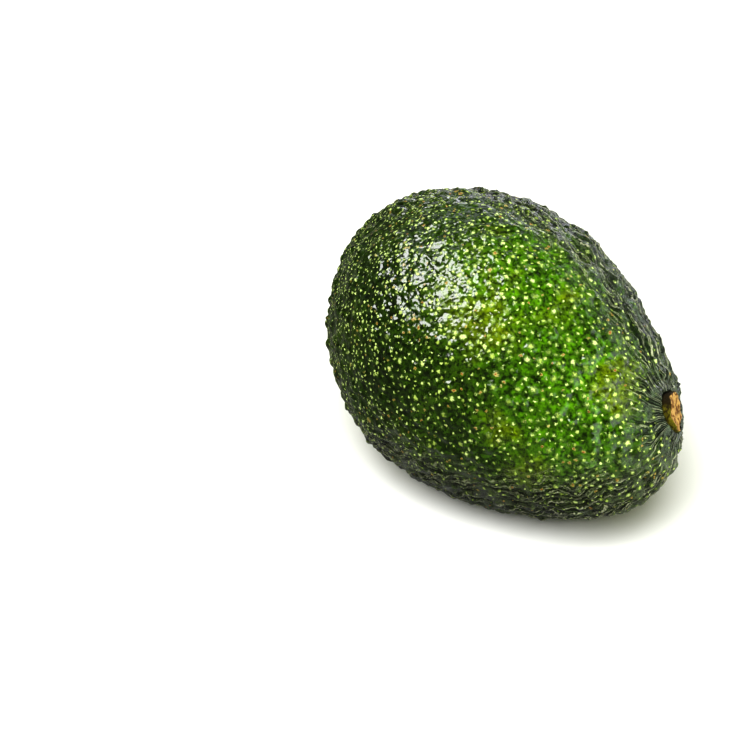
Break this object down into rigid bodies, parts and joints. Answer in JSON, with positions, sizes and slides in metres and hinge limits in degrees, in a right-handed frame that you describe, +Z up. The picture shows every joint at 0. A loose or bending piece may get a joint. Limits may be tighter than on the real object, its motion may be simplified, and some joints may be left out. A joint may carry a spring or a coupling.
{
  "type": "avocado",
  "caption": "Whole ripe avocado with glossy dark green pebbled skin and a short woody stalk stub, lying on its side.",
  "frame": {"origin": "on the resting surface, under the middle of the fruit's outer box", "axes": "+Z up; +X horizontal, towards the stalk end, which the fruit's long axis points 22 degrees down to"},
  "size_m": [0.0964, 0.0698, 0.0688],
  "materials": {
    "skin": "glossy pebbled rind, dark green with yellow-green specks",
    "stalk": "rough, bark-brown side and orange-tan broken end grain"
  },
  "bodies": {
    "root": {"fruit": "skin", "stem_stub": "stalk"}
  },
  "joints": []
}
